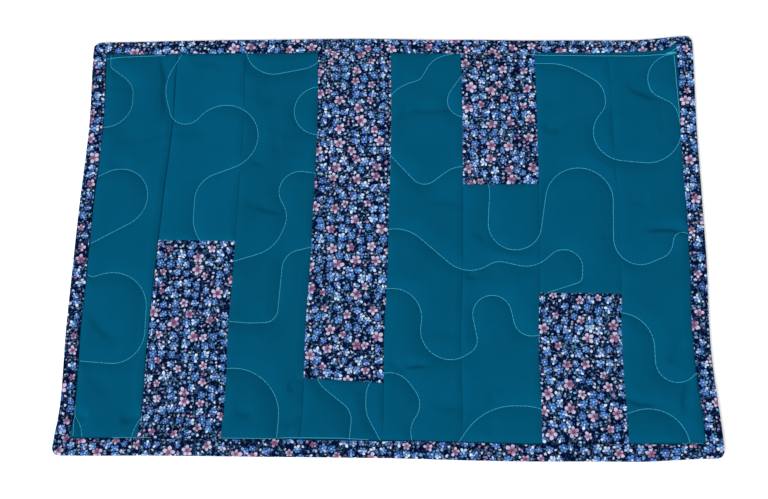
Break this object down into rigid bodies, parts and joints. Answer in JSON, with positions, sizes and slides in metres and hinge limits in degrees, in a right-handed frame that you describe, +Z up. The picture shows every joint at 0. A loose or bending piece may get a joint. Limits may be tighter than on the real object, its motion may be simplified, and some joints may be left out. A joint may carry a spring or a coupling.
{
  "type": "quilted placemat",
  "caption": "Flat quilted placemat of plain and flower print cotton strips, sewn together, quilted in wandering lines and bound round the edge.",
  "frame": {"origin": "middle of the flat underside that lies on the table", "axes": "+X along the long side to the right, +Y along the short side to the far edge, +Z up out of the quilted face"},
  "size_m": [0.4224, 0.2896, 0.0042],
  "materials": {
    "plain_cotton": "plain weave cotton, deep teal, matt",
    "print_cotton": "printed cotton, small pink and blue flowers on dark navy, matt",
    "thread": "pale aqua sewing thread, slight sheen"
  },
  "bodies": {
    "root": {"plain_1": "plain_cotton", "plain_2": "plain_cotton", "print_2": "print_cotton", "plain_3": "plain_cotton", "print_4": "print_cotton", "plain_4": "plain_cotton", "plain_5": "plain_cotton", "print_6": "print_cotton", "plain_6": "plain_cotton", "plain_7": "plain_cotton", "print_7": "print_cotton", "plain_8": "plain_cotton", "binding_near": "print_cotton", "binding_right": "print_cotton", "binding_far": "print_cotton", "binding_left": "print_cotton"}
  },
  "joints": []
}
